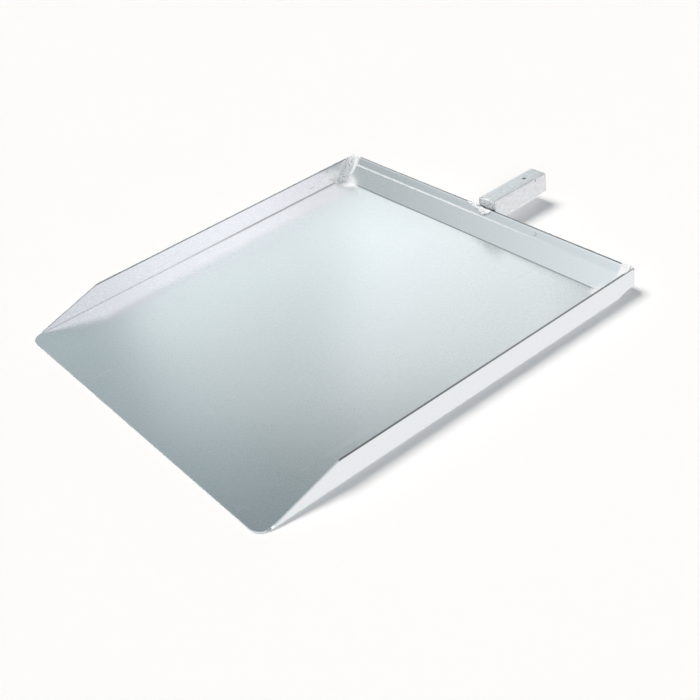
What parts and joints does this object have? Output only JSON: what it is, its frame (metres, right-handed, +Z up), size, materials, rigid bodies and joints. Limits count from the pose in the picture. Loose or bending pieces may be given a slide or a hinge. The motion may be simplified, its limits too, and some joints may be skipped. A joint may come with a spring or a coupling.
{
  "type": "mud pan",
  "caption": "Open-fronted flat aluminium pan with low side walls, a leaning back wall and a short square-tube grip, for catching or carrying wet plaster and mortar.",
  "frame": {"origin": "middle of the bottom of the whole object's box, grip included; the pan stands on the plane z = 0", "axes": "+Y from the open front edge towards the grip, +X to the right of a user who looks along +Y, +Z up"},
  "size_m": [0.485, 0.594, 0.038],
  "materials": {
    "rolled_sheet": "mill-finish rolled sheet, satin with a fine grain and light use scratches",
    "extruded_tube": "extruded, satin with fine lengthwise draw lines",
    "dressed_weld": "weld metal, brushed and ground bright",
    "weld_bead": "as-laid weld bead with ripples, bright"
  },
  "bodies": {
    "root": {"pan_sheet": "rolled_sheet", "back_left_corner_weld": "dressed_weld", "back_right_corner_weld": "dressed_weld", "handle_tube": "extruded_tube", "handle_top_weld": "weld_bead", "handle_bottom_weld": "weld_bead", "handle_left_weld": "weld_bead", "handle_right_weld": "weld_bead"}
  },
  "joints": []
}
